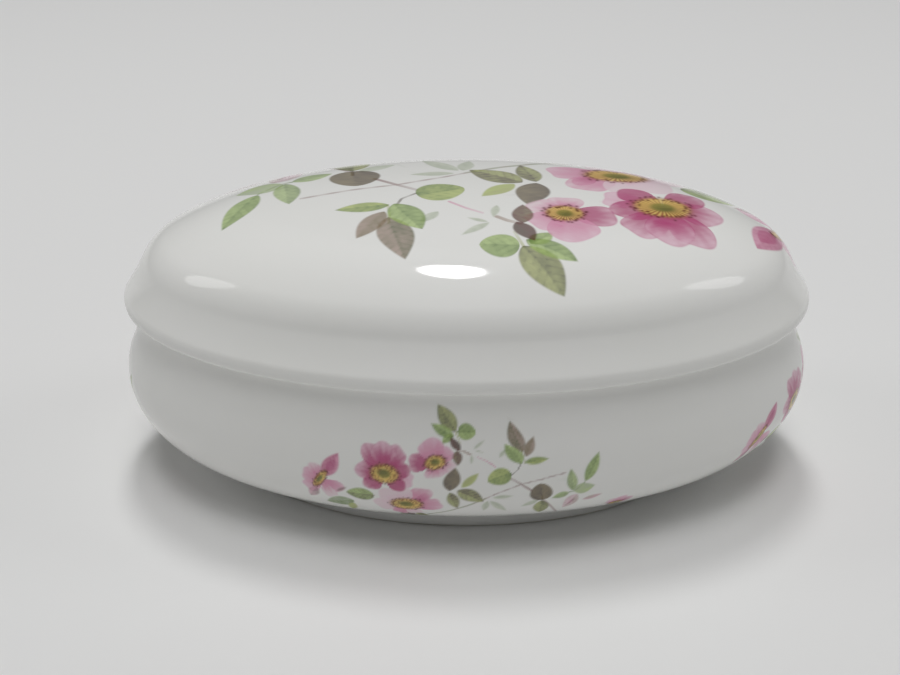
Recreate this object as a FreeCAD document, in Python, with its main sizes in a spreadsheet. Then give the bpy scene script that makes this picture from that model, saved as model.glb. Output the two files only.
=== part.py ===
"""Oval porcelain powder jar: a low bowl on a foot ring, and a domed lid that caps the bowl's collar.

The jar is longer across (X) than it is deep (Y). Each surface is turned round about Z from an outline
of straight lines and tangent arcs, then narrowed in Y to its own ratio, so the walls are as thick at
the front as at the sides. The collar, throat and foot recess are straight oval blocks. The origin is
the middle of the foot ring's flat face, which is trimmed at the ground. Millimetres throughout.
"""
import FreeCAD, Part
import math
import os

import Sketcher

DIMENSIONS = {
    # The whole jar. The ratio is the depth over the width.
    "plan_ratio": 0.6,
    "jar_height": 64.0,
    "wall": 3.5,
    "seat_height": 40.8,
    # The lid, half its width: a flat crown, a rounder dome, a tight shoulder, a neck and a rolled bead.
    "lid_radius": 75.0,
    "crown_radius": 42.0,
    "crown_curve": 615.0,
    "dome_curve": 59.0,
    "shoulder_curve": 12.8,
    "dome_side_radius": 71.9,
    "neck_curve": 44.0,
    "bead_curve": 3.0,
    "bead_height": 42.4,
    # The bowl, half its width: a foot ring, a shallow underside, a full belly and a ledge.
    "belly_radius": 76.0,
    "belly_height": 24.4,
    "belly_curve": 16.8,
    "underside_curve": 105.0,
    "waist_curve": 26.5,
    "ledge_radius": 71.9,
    "foot_radius": 51.3,
    "foot_flare": 1.0,
    "foot_height": 3.8,
    "foot_width": 3.5,
    "foot_recess": 2.5,
    "floor_height": 6.3,
    "floor_radius": 47.0,
    # The fit between the two.
    "collar_clearance": 0.8,
    "collar_width": 3.0,
    "collar_height": 4.5,
}

START = 1
END = 2
CENTRE = 3
ORIGIN = -1
VERTICAL_AXIS = -2


def cell(name):
    """Name a dimension's cell in an expression."""
    return f"Dimensions.{name}"


FOOT_ACROSS = cell("foot_radius")
BELOW_GROUND = f"-{cell('foot_height')}"
BELLY_CENTRE_ACROSS = f"{cell('belly_radius')} - {cell('belly_curve')}"
SHOULDER_CENTRE_ACROSS = f"{cell('dome_side_radius')} - {cell('shoulder_curve')}"
BEAD_CENTRE_ACROSS = f"{cell('lid_radius')} - {cell('bead_curve')}"
BORE_ACROSS = f"{cell('dome_side_radius')} - {cell('wall')}"
BORE_DEEP = f"{cell('dome_side_radius')} * {cell('plan_ratio')} - {cell('wall')}"


def make_sheet(document):
    """Put the driving dimensions in a spreadsheet, one row each: name, value."""
    sheet = document.addObject("Spreadsheet::Sheet", "Dimensions")
    for row, (name, value) in enumerate(DIMENSIONS.items(), start=1):
        sheet.set(f"A{row}", name)
        sheet.set(f"B{row}", str(value))
        sheet.setAlias(f"B{row}", name)
    document.recompute()
    return sheet


def plane_of(body, role):
    """Find one of a body's own origin planes."""
    return next(item for item in body.Origin.OriginFeatures if item.Role == role)


def meeting_point(first, first_distance, second, second_distance, side):
    """Find the point at the given distances from two others, to the left (+1) or right (-1) of them."""
    gap_x = second[0] - first[0]
    gap_z = second[1] - first[1]
    gap = math.hypot(gap_x, gap_z)
    along = (first_distance ** 2 - second_distance ** 2 + gap ** 2) / (2 * gap)
    across = side * math.sqrt(first_distance ** 2 - along ** 2)
    return (
        first[0] + (along * gap_x - across * gap_z) / gap,
        first[1] + (along * gap_z + across * gap_x) / gap,
    )


def toward(start, target, distance):
    """Find the point at a distance from start, on the way to target (or away from it, if negative)."""
    gap = math.hypot(target[0] - start[0], target[1] - start[1])
    return (
        start[0] + (target[0] - start[0]) * distance / gap,
        start[1] + (target[1] - start[1]) * distance / gap,
    )


class Outline:
    """A closed outline in a body's sketch, drawn as lines and arcs and bound to the sheet's cells."""

    def __init__(self, document, name):
        self.body = document.addObject("PartDesign::Body", f"{name}Round")
        self.sketch = self.body.newObject("Sketcher::SketchObject", f"{name}Outline")
        self.sketch.AttachmentSupport = [(plane_of(self.body, "XZ_Plane"), "")]
        self.sketch.MapMode = "FlatFace"
        self.ends = []

    def line(self, start, end):
        """Add a straight line."""
        segment = Part.LineSegment(FreeCAD.Vector(*start, 0), FreeCAD.Vector(*end, 0))
        self.ends.append((START, END))
        return self.sketch.addGeometry(segment)

    def arc(self, centre, start, end, clockwise=False):
        """Add an arc about a centre, anticlockwise from start to end unless told otherwise."""
        radius = math.hypot(start[0] - centre[0], start[1] - centre[1])
        first, last = (end, start) if clockwise else (start, end)
        first_angle = math.atan2(first[1] - centre[1], first[0] - centre[0])
        last_angle = math.atan2(last[1] - centre[1], last[0] - centre[0])
        circle = Part.Circle(FreeCAD.Vector(*centre, 0), FreeCAD.Vector(0, 0, 1), radius)
        self.ends.append((END, START) if clockwise else (START, END))
        return self.sketch.addGeometry(Part.ArcOfCircle(circle, first_angle, last_angle))

    def constrain(self, *terms):
        """Add one constraint and give its number."""
        return self.sketch.addConstraint(Sketcher.Constraint(*terms))

    def close(self, smooth):
        """Join each piece of outline to the next, and the last to the first."""
        count = len(self.ends)
        for geometry in range(count):
            following = (geometry + 1) % count
            kind = "Tangent" if geometry in smooth else "Coincident"
            self.constrain(kind, geometry, self.ends[geometry][1], following, self.ends[following][0])

    def bind(self, number, expression):
        """Bind a constraint's value to the sheet."""
        self.sketch.setExpression(f"Constraints[{number}]", expression)

    def place(self, geometry, point, across=None, up=None):
        """Hold a point at a distance across from the axis, up from the ground, or both."""
        position = self.sketch.getPoint(geometry, point)
        if across:
            self.bind(self.constrain("DistanceX", ORIGIN, START, geometry, point, position.x), across)
        if up:
            self.bind(self.constrain("DistanceY", ORIGIN, START, geometry, point, position.y), up)

    def place_start(self, geometry, **places):
        """Hold the start of a piece of outline."""
        self.place(geometry, self.ends[geometry][0], **places)

    def place_end(self, geometry, **places):
        """Hold the end of a piece of outline."""
        self.place(geometry, self.ends[geometry][1], **places)

    def curve(self, geometry, expression):
        """Bind an arc's radius."""
        radius = self.sketch.Geometry[geometry].Radius
        self.bind(self.constrain("Radius", geometry, radius), expression)

    def on_axis(self, geometry, point):
        """Hold a point on the axis of revolution."""
        self.constrain("PointOnObject", geometry, point, VERTICAL_AXIS)


def crown_of(height, crown_curve, crown_radius):
    """Find the crown arc's centre, on the axis, and its outer end."""
    centre = (0, height - crown_curve)
    rise = math.sqrt(crown_curve ** 2 - crown_radius ** 2)
    return centre, (crown_radius, centre[1] + rise)


def shoulder_beside(dome_centre):
    """Find the centre of the shoulder arc that touches the dome arc from inside."""
    across = DIMENSIONS["dome_side_radius"] - DIMENSIONS["shoulder_curve"]
    reach = DIMENSIONS["dome_curve"] - DIMENSIONS["shoulder_curve"]
    return across, dome_centre[1] + math.sqrt(reach ** 2 - (across - dome_centre[0]) ** 2)


def turn(document, name, outline):
    """Turn an outline through a full circle about the sketch's vertical axis, and give its body."""
    turning = outline.body.newObject("PartDesign::Revolution", name)
    turning.Profile = outline.sketch
    turning.ReferenceAxis = (outline.sketch, ["V_Axis"])
    turning.Angle = 360
    document.recompute()
    return outline.body


def narrow(document, name, body, ratio):
    """Narrow a turned body in Y, which makes its round plan an oval."""
    oval = document.addObject("Part::Scale", name)
    oval.Base = body
    oval.Uniform = False
    oval.setExpression("YScale", ratio)
    return oval


def oval_block(document, name, across, deep, bottom, height):
    """Make a straight block with an oval plan from its half width, half depth, base and height."""
    ellipse = document.addObject("Part::Ellipse", f"{name}Plan")
    ellipse.setExpression("MajorRadius", across)
    ellipse.setExpression("MinorRadius", deep)
    ellipse.setExpression("Placement.Base.z", bottom)
    block = document.addObject("Part::Extrusion", name)
    block.Base = ellipse
    block.DirMode = "Custom"
    block.Dir = FreeCAD.Vector(0, 0, 1)
    block.Solid = True
    block.setExpression("LengthFwd", height)
    return block


def ground_block(document, name, across, depth):
    """Make a square block whose top face is the ground, wide enough to trim whatever runs below it."""
    block = document.addObject("Part::Box", name)
    for side in ("Length", "Width"):
        block.setExpression(side, f"2 * {across}")
    block.setExpression("Height", depth)
    block.setExpression("Placement.Base.x", f"-{across}")
    block.setExpression("Placement.Base.y", f"-{across}")
    block.setExpression("Placement.Base.z", f"-{depth}")
    return block


def fuse(document, name, pieces):
    """Fuse several shapes into one."""
    whole = document.addObject("Part::MultiFuse", name)
    whole.Shapes = pieces
    return whole


def cut(document, label, base, tool):
    """Cut one shape from another and label what is left as a finished piece."""
    piece = document.addObject("Part::Cut", label.title())
    piece.Label = label
    piece.Base = base
    piece.Tool = tool
    return piece


def draw_bowl_outside(document):
    """Turn the bowl's outside: foot, underside, belly and waist. The foot runs on below the ground."""
    size = DIMENSIONS
    outline = Outline(document, "BowlOutside")
    foot_middle = (0, -size["foot_height"])
    foot_edge = (size["foot_radius"] - size["foot_flare"], -size["foot_height"])
    foot_top = (size["foot_radius"] + size["foot_flare"], size["foot_height"])
    ledge_edge = (size["ledge_radius"], size["seat_height"])
    ledge_middle = (0, size["seat_height"])
    belly_centre = (size["belly_radius"] - size["belly_curve"], size["belly_height"])
    underside_reach = size["underside_curve"] - size["belly_curve"]
    underside_centre = meeting_point(foot_top, size["underside_curve"], belly_centre, underside_reach, 1)
    underside_end = toward(underside_centre, belly_centre, size["underside_curve"])
    waist_reach = size["waist_curve"] + size["belly_curve"]
    waist_centre = meeting_point(ledge_edge, size["waist_curve"], belly_centre, waist_reach, 1)
    belly_end = toward(belly_centre, waist_centre, size["belly_curve"])

    foot_face = outline.line(foot_middle, foot_edge)
    foot_side = outline.line(foot_edge, foot_top)
    underside = outline.arc(underside_centre, foot_top, underside_end)
    belly = outline.arc(belly_centre, underside_end, belly_end)
    waist = outline.arc(waist_centre, belly_end, ledge_edge, clockwise=True)
    ledge = outline.line(ledge_edge, ledge_middle)
    outline.line(ledge_middle, foot_middle)
    outline.close(smooth=(underside, belly))

    outline.on_axis(foot_face, START)
    outline.constrain("Horizontal", foot_face)
    outline.place_end(foot_face, across=f"{FOOT_ACROSS} - {cell('foot_flare')}", up=BELOW_GROUND)
    outline.place_end(foot_side, across=f"{FOOT_ACROSS} + {cell('foot_flare')}", up=cell("foot_height"))
    outline.curve(underside, cell("underside_curve"))
    outline.curve(belly, cell("belly_curve"))
    outline.place(belly, CENTRE, across=BELLY_CENTRE_ACROSS, up=cell("belly_height"))
    outline.curve(waist, cell("waist_curve"))
    outline.place_end(waist, across=cell("ledge_radius"), up=cell("seat_height"))
    outline.constrain("Horizontal", ledge)
    outline.on_axis(ledge, END)
    return turn(document, "BowlOutsideTurning", outline)


def draw_bowl_inside(document):
    """Turn the bowl's hollow: floor, underside and belly, a wall further in. The throat opens its top."""
    size = DIMENSIONS
    outline = Outline(document, "BowlInside")
    floor_middle = (0, size["floor_height"])
    floor_edge = (size["floor_radius"], size["floor_height"])
    belly_centre = (size["belly_radius"] - size["belly_curve"], size["belly_height"])
    belly_curve = size["belly_curve"] - size["wall"]
    underside_curve = size["underside_curve"] - size["wall"]
    underside_reach = underside_curve - belly_curve
    underside_centre = meeting_point(floor_edge, underside_curve, belly_centre, underside_reach, 1)
    underside_end = toward(underside_centre, belly_centre, underside_curve)
    belly_top = (belly_centre[0], belly_centre[1] + belly_curve)
    top_middle = (0, belly_top[1])

    floor = outline.line(floor_middle, floor_edge)
    underside = outline.arc(underside_centre, floor_edge, underside_end)
    belly = outline.arc(belly_centre, underside_end, belly_top)
    top = outline.line(belly_top, top_middle)
    outline.line(top_middle, floor_middle)
    outline.close(smooth=(underside, belly))

    outline.on_axis(floor, START)
    outline.place_end(floor, across=cell("floor_radius"), up=cell("floor_height"))
    outline.constrain("Horizontal", floor)
    outline.curve(underside, f"{cell('underside_curve')} - {cell('wall')}")
    outline.curve(belly, f"{cell('belly_curve')} - {cell('wall')}")
    outline.place(belly, CENTRE, across=BELLY_CENTRE_ACROSS, up=cell("belly_height"))
    outline.constrain("Horizontal", top)
    outline.on_axis(top, END)
    return turn(document, "BowlInsideTurning", outline)


def draw_lid_outside(document):
    """Turn the lid's outside: crown, dome, shoulder, neck and bead."""
    size = DIMENSIONS
    outline = Outline(document, "LidOutside")
    top = (0, size["jar_height"])
    crown_centre, crown_end = crown_of(size["jar_height"], size["crown_curve"], size["crown_radius"])
    dome_centre = toward(crown_end, crown_centre, size["dome_curve"])
    shoulder_centre = shoulder_beside(dome_centre)
    dome_end = toward(dome_centre, shoulder_centre, size["dome_curve"])
    bead_centre = (size["lid_radius"] - size["bead_curve"], size["bead_height"])
    neck_centre = meeting_point(
        shoulder_centre,
        size["shoulder_curve"] + size["neck_curve"],
        bead_centre,
        size["neck_curve"] + size["bead_curve"],
        1,
    )
    shoulder_end = toward(shoulder_centre, neck_centre, size["shoulder_curve"])
    bead_start = toward(bead_centre, neck_centre, size["bead_curve"])
    bead_foot = math.sqrt(size["bead_curve"] ** 2 - (size["bead_height"] - size["seat_height"]) ** 2)
    bead_end = (bead_centre[0] + bead_foot, size["seat_height"])
    edge_middle = (0, size["seat_height"])

    crown = outline.arc(crown_centre, top, crown_end, clockwise=True)
    dome = outline.arc(dome_centre, crown_end, dome_end, clockwise=True)
    shoulder = outline.arc(shoulder_centre, dome_end, shoulder_end, clockwise=True)
    neck = outline.arc(neck_centre, shoulder_end, bead_start)
    bead = outline.arc(bead_centre, bead_start, bead_end, clockwise=True)
    edge = outline.line(bead_end, edge_middle)
    outline.line(edge_middle, top)
    outline.close(smooth=(crown, dome, shoulder, neck))

    outline.on_axis(crown, outline.ends[crown][0])
    outline.place_start(crown, up=cell("jar_height"))
    outline.on_axis(crown, CENTRE)
    outline.curve(crown, cell("crown_curve"))
    outline.place_end(crown, across=cell("crown_radius"))
    outline.curve(dome, cell("dome_curve"))
    outline.curve(shoulder, cell("shoulder_curve"))
    outline.place(shoulder, CENTRE, across=SHOULDER_CENTRE_ACROSS)
    outline.curve(neck, cell("neck_curve"))
    outline.curve(bead, cell("bead_curve"))
    outline.place(bead, CENTRE, across=BEAD_CENTRE_ACROSS, up=cell("bead_height"))
    outline.place_end(bead, up=cell("seat_height"))
    outline.constrain("Horizontal", edge)
    outline.on_axis(edge, END)
    return turn(document, "LidOutsideTurning", outline)


def draw_lid_inside(document):
    """Turn the lid's hollow: the same crown, dome and shoulder a wall lower, above a straight bore."""
    size = DIMENSIONS
    outline = Outline(document, "LidInside")
    inner_height = size["jar_height"] - size["wall"]
    crown_curve = size["crown_curve"] - size["wall"]
    dome_curve = size["dome_curve"] - size["wall"]
    shoulder_curve = size["shoulder_curve"] - size["wall"]
    top = (0, inner_height)
    crown_centre, crown_end = crown_of(inner_height, crown_curve, size["crown_radius"])
    dome_centre = toward(crown_end, crown_centre, dome_curve)
    shoulder_centre = shoulder_beside(dome_centre)
    dome_end = toward(dome_centre, shoulder_centre, dome_curve)
    bore_top = (shoulder_centre[0] + shoulder_curve, shoulder_centre[1])
    bore_foot = (bore_top[0], size["seat_height"])
    mouth_middle = (0, size["seat_height"])

    crown = outline.arc(crown_centre, top, crown_end, clockwise=True)
    dome = outline.arc(dome_centre, crown_end, dome_end, clockwise=True)
    shoulder = outline.arc(shoulder_centre, dome_end, bore_top, clockwise=True)
    bore = outline.line(bore_top, bore_foot)
    mouth = outline.line(bore_foot, mouth_middle)
    outline.line(mouth_middle, top)
    outline.close(smooth=(crown, dome, shoulder))

    outline.on_axis(crown, outline.ends[crown][0])
    outline.place_start(crown, up=f"{cell('jar_height')} - {cell('wall')}")
    outline.on_axis(crown, CENTRE)
    outline.curve(crown, f"{cell('crown_curve')} - {cell('wall')}")
    outline.place_end(crown, across=cell("crown_radius"))
    outline.curve(dome, f"{cell('dome_curve')} - {cell('wall')}")
    outline.curve(shoulder, f"{cell('shoulder_curve')} - {cell('wall')}")
    outline.place(shoulder, CENTRE, across=SHOULDER_CENTRE_ACROSS)
    outline.constrain("Vertical", bore)
    outline.place_end(bore, up=cell("seat_height"))
    outline.constrain("Horizontal", mouth)
    outline.on_axis(mouth, END)
    return turn(document, "LidInsideTurning", outline)


def make_bowl(document):
    """Make the bowl: an oval shell with a collar on its ledge and a recess inside its foot ring."""
    collar_across = f"{BORE_ACROSS} - {cell('collar_clearance')}"
    collar_deep = f"{BORE_DEEP} - {cell('collar_clearance')}"
    throat_across = f"{collar_across} - {cell('collar_width')}"
    throat_deep = f"{collar_deep} - {cell('collar_width')}"
    recess_across = f"{FOOT_ACROSS} - {cell('foot_width')}"
    recess_deep = f"{FOOT_ACROSS} * {cell('plan_ratio')} - {cell('foot_width')}"
    belly = cell("belly_radius")
    hollow_ratio = f"({belly} * {cell('plan_ratio')} - {cell('wall')}) / ({belly} - {cell('wall')})"

    outside = narrow(document, "BowlOutside", draw_bowl_outside(document), cell("plan_ratio"))
    hollow = narrow(document, "BowlHollow", draw_bowl_inside(document), hollow_ratio)
    seat = cell("seat_height")
    collar = oval_block(document, "Collar", collar_across, collar_deep, seat, cell("collar_height"))
    throat = oval_block(
        document,
        "Throat",
        throat_across,
        throat_deep,
        cell("belly_height"),
        f"{seat} + {cell('collar_height')} - {cell('belly_height')}",
    )
    recess = oval_block(
        document,
        "FootRecess",
        recess_across,
        recess_deep,
        BELOW_GROUND,
        f"{cell('foot_height')} + {cell('foot_recess')}",
    )
    ground = ground_block(document, "Ground", belly, f"2 * {cell('foot_height')}")
    solid = fuse(document, "BowlSolid", [outside, collar])
    spaces = fuse(document, "BowlSpaces", [hollow, throat, recess, ground])
    return cut(document, "bowl", solid, spaces)


def make_lid(document):
    """Make the lid, a cap whose bore fits round the collar and whose edge rests on the ledge."""
    outside = narrow(document, "LidOutside", draw_lid_outside(document), cell("plan_ratio"))
    hollow_ratio = f"({BORE_DEEP}) / ({BORE_ACROSS})"
    hollow = narrow(document, "LidHollow", draw_lid_inside(document), hollow_ratio)
    return cut(document, "lid", outside, hollow)


def check(document, pieces):
    """Stop if any object failed, if an outline is loose, or if a piece isn't one sound solid."""
    for item in document.Objects:
        if "Invalid" in item.State or "Error" in item.State:
            raise RuntimeError(f"{item.Name} failed: {item.State}")
        if item.TypeId == "Sketcher::SketchObject" and not item.FullyConstrained:
            raise RuntimeError(f"{item.Name} isn't held by its dimensions")
    for piece in pieces:
        if piece.Shape.isNull() or not piece.Shape.isValid() or len(piece.Shape.Solids) != 1:
            raise RuntimeError(f"{piece.Label} isn't one sound solid")


def main():
    """Build the jar, check it and write each piece to its own file."""
    document = FreeCAD.newDocument("PowderJar")
    make_sheet(document)
    pieces = [make_bowl(document), make_lid(document)]
    document.recompute()
    check(document, pieces)
    os.makedirs("parts", exist_ok=True)
    for piece in pieces:
        piece.Shape.exportStep(os.path.join("parts", f"{piece.Label}.step"))
        box = piece.Shape.optimalBoundingBox()
        print(f"{piece.Label}: volume {piece.Shape.Volume:.0f} mm3")
        print(f"{piece.Label}: {box.XLength:.2f} by {box.YLength:.2f} by {box.ZLength:.2f} mm")


main()
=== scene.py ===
"""A porcelain powder jar: an oval bowl and a domed lid, both painted with sprays of dog roses.

Each piece is one closed surface that follows its CAD node's sections and stands in for it, because the
painting is kept in the mesh. A surface starts as a fine lattice of points, steps round the axis by steps
along a section. The painting is worked out at those points, and the surface is then divided into faces
only as finely as its curves and its painting need. Sizes are in millimetres until the mesh is made.
"""

import bisect
import math
import random

import bpy
import numpy as np
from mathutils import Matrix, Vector


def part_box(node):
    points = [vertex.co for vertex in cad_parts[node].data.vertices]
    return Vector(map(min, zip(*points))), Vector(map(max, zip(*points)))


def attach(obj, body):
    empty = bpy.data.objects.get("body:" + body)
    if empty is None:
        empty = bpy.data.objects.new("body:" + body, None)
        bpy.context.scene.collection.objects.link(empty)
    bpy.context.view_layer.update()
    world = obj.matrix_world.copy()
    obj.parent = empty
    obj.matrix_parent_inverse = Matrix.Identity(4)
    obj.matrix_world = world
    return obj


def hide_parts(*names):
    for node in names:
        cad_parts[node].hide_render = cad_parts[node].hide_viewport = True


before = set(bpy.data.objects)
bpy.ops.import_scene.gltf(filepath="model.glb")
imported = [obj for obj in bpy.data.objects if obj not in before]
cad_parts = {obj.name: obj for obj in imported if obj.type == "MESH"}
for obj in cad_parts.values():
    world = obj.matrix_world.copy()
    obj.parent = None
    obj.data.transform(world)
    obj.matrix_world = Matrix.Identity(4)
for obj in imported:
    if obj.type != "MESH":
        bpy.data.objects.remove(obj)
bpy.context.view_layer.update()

MM = 0.001
BOWL_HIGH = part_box("bowl")[1] / MM
LID_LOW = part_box("lid")[0] / MM
LID_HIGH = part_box("lid")[1] / MM

# Driving sizes from the frame: half widths, heights and the depth over the width.
BELLY_RADIUS = BOWL_HIGH.x
LID_RADIUS = LID_HIGH.x
RATIO = LID_HIGH.y / LID_HIGH.x
SEAT = LID_LOW.z
LID_TOP = LID_HIGH.z
COLLAR_TOP = BOWL_HIGH.z

# The rest of the sections, as half widths, heights and the radii of arcs.
WALL = 3.5
CROWN_RADIUS = 42.0
CROWN_CURVE = 615.0
DOME_CURVE = 59.0
SHOULDER_CURVE = 12.8
DOME_SIDE_RADIUS = 71.9
NECK_CURVE = 44.0
BEAD_CURVE = 3.0
BEAD_HEIGHT = SEAT + 1.6
# How far the rim flares in depth, as a share of how far it flares in width.
FLARE_SHARE = 0.95
BELLY_HEIGHT = 24.4
BELLY_CURVE = 16.8
UNDERSIDE_CURVE = 105.0
WAIST_CURVE = 26.5
LEDGE_RADIUS = 71.9
FOOT_RADIUS = 51.3
FOOT_FLARE = 1.0
FOOT_HEIGHT = 3.8
FOOT_WIDTH = 3.5
FOOT_RECESS = 2.5
FLOOR_HEIGHT = 6.3
FLOOR_RADIUS = 47.0
COLLAR_CLEARANCE = 0.8
COLLAR_WIDTH = 3.0

# The lattice's steps round and along a section, and an arc's points before they are spaced evenly.
AROUND = 1536
ALONG = 768
ARC_STEPS = 400
# Edges are softened over this distance to each side.
EDGE_ROUNDING = 0.4
# A face spans this many steps at most, and fewer where it would miss the true surface by this distance or
# where its colour would vary by this much.
LARGEST_STEP = 128
SHAPE_MISS = 0.012
COLOUR_MISS = 0.095
# A face that is divided for its colour isn't divided across a side under this share of the other.
SPLIT_RATIO = 0.7


def pigment(red, green, blue):
    """Turn a colour as a screen shows it, 0 to 255, into the light it gives back, by sRGB's rule."""
    levels = np.array((red, green, blue)) / 255
    return np.where(levels > 0.04045, ((levels + 0.055) / 1.055) ** 2.4, levels / 12.92)


PORCELAIN = pigment(248, 248, 245)
DEEP_ROSE = pigment(192, 84, 132)
ROSE = pigment(228, 154, 186)
PALE_ROSE = pigment(241, 204, 220)
BLUSH = pigment(243, 222, 229)
GOLD = pigment(242, 212, 116)
AMBER = pigment(158, 92, 46)
MAROON = pigment(98, 36, 36)
HEART_GREEN = pigment(134, 136, 62)
SPRING_GREEN = pigment(184, 208, 130)
LEAF_GREEN = pigment(108, 138, 60)
LIME = pigment(192, 206, 118)
OLIVE = pigment(182, 188, 122)
DARK_OLIVE = pigment(92, 96, 52)
BROWN = pigment(134, 120, 88)
DARK_BROWN = pigment(80, 62, 46)
MAUVE_BROWN = pigment(176, 154, 140)
SAGE = pigment(210, 218, 196)
GREY_GREEN = pigment(176, 188, 160)
TWIG = pigment(160, 130, 128)


# ---- Sections ----


def meeting_point(first, first_distance, second, second_distance):
    """Find the point at the given distances from two others, to the left of the way between them."""
    gap_across = second[0] - first[0]
    gap_up = second[1] - first[1]
    gap = math.hypot(gap_across, gap_up)
    along = (first_distance ** 2 - second_distance ** 2 + gap ** 2) / (2 * gap)
    aside = math.sqrt(first_distance ** 2 - along ** 2)
    return (
        first[0] + (along * gap_across - aside * gap_up) / gap,
        first[1] + (along * gap_up + aside * gap_across) / gap,
    )


def toward(start, target, distance):
    """Find the point at a distance from start, on the way to target."""
    share = distance / math.dist(start, target)
    return start[0] + (target[0] - start[0]) * share, start[1] + (target[1] - start[1]) * share


def arc(centre, start, end):
    """Follow an arc about a centre, the short way from start to end."""
    first = math.atan2(start[1] - centre[1], start[0] - centre[0])
    last = math.atan2(end[1] - centre[1], end[0] - centre[0])
    turn = (last - first + math.pi) % (2 * math.pi) - math.pi
    angles = np.linspace(first, first + turn, ARC_STEPS)
    radius = math.dist(centre, start)
    return [(centre[0] + radius * math.cos(a), centre[1] + radius * math.sin(a)) for a in angles]


def deepen(stretch, near, far):
    """Give a stretch of section its half depths, in step with its half widths between two known pairs."""
    slope = (far[1] - near[1]) / (far[0] - near[0])
    return [(across, near[1] + slope * (across - near[0]), up) for across, up in stretch]


def even_section(points):
    """Space a section's points evenly and soften its edges, as glaze does."""
    points = np.array(points)
    steps = np.linalg.norm(np.diff(points, axis=0), axis=1)
    run = np.concatenate(([0], np.cumsum(steps)))
    even = np.linspace(0, run[-1], ALONG + 1)
    section = np.column_stack([np.interp(even, run, column) for column in points.T])
    reach = round(EDGE_ROUNDING * ALONG / run[-1])
    padded = np.pad(section, ((reach, reach), (0, 0)), mode="edge")
    shifted = [padded[start:start + ALONG + 1] for start in range(2 * reach + 1)]
    return np.mean(shifted, axis=0)


def lid_dome(top, crown_curve, dome_curve, shoulder_curve):
    """Find the crown's, dome's and shoulder's centres, and where they meet."""
    crown_centre = (0, top - crown_curve)
    crown_end = (CROWN_RADIUS, crown_centre[1] + math.sqrt(crown_curve ** 2 - CROWN_RADIUS ** 2))
    dome_centre = toward(crown_end, crown_centre, dome_curve)
    across = DOME_SIDE_RADIUS - SHOULDER_CURVE
    rise = math.sqrt((dome_curve - shoulder_curve) ** 2 - (across - dome_centre[0]) ** 2)
    shoulder_centre = (across, dome_centre[1] + rise)
    dome_end = toward(dome_centre, shoulder_centre, dome_curve)
    return crown_centre, crown_end, dome_centre, dome_end, shoulder_centre


def lid_section():
    """Follow the lid from the top of its hollow down round the rim and up to the top of its dome."""
    top = (0, LID_TOP)
    crown_centre, crown_end, dome_centre, dome_end, shoulder_centre = lid_dome(
        LID_TOP, CROWN_CURVE, DOME_CURVE, SHOULDER_CURVE
    )
    bead_centre = (LID_RADIUS - BEAD_CURVE, BEAD_HEIGHT)
    neck_centre = meeting_point(
        shoulder_centre, SHOULDER_CURVE + NECK_CURVE, bead_centre, NECK_CURVE + BEAD_CURVE
    )
    shoulder_end = toward(shoulder_centre, neck_centre, SHOULDER_CURVE)
    bead_start = toward(bead_centre, neck_centre, BEAD_CURVE)
    bead_foot = math.sqrt(BEAD_CURVE ** 2 - (BEAD_HEIGHT - SEAT) ** 2)
    bead_end = (bead_centre[0] + bead_foot, SEAT)
    dome = (
        arc(crown_centre, top, crown_end)
        + arc(dome_centre, crown_end, dome_end)
        + arc(shoulder_centre, dome_end, shoulder_end)
    )
    rim = arc(neck_centre, shoulder_end, bead_start) + arc(bead_centre, bead_start, bead_end)
    rim_end = (bead_end[0], bead_end[0] * RATIO)
    rim_start = (shoulder_end[0], rim_end[1] - FLARE_SHARE * (bead_end[0] - shoulder_end[0]))
    inner_crown, inner_crown_end, inner_dome, inner_dome_end, inner_shoulder = lid_dome(
        LID_TOP - WALL, CROWN_CURVE - WALL, DOME_CURVE - WALL, SHOULDER_CURVE - WALL
    )
    bore_top = (DOME_SIDE_RADIUS - WALL, inner_shoulder[1])
    bore_foot = (bore_top[0], SEAT)
    hollow = (
        [bore_foot]
        + arc(inner_shoulder, bore_top, inner_dome_end)
        + arc(inner_dome, inner_dome_end, inner_crown_end)
        + arc(inner_crown, inner_crown_end, (0, LID_TOP - WALL))
    )
    bore = (bore_top[0], DOME_SIDE_RADIUS * RATIO - WALL)
    outside = deepen(dome, (0, 0), rim_start) + deepen(rim, rim_start, rim_end)
    return (outside + deepen(hollow, (0, 0), bore))[::-1]


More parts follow.
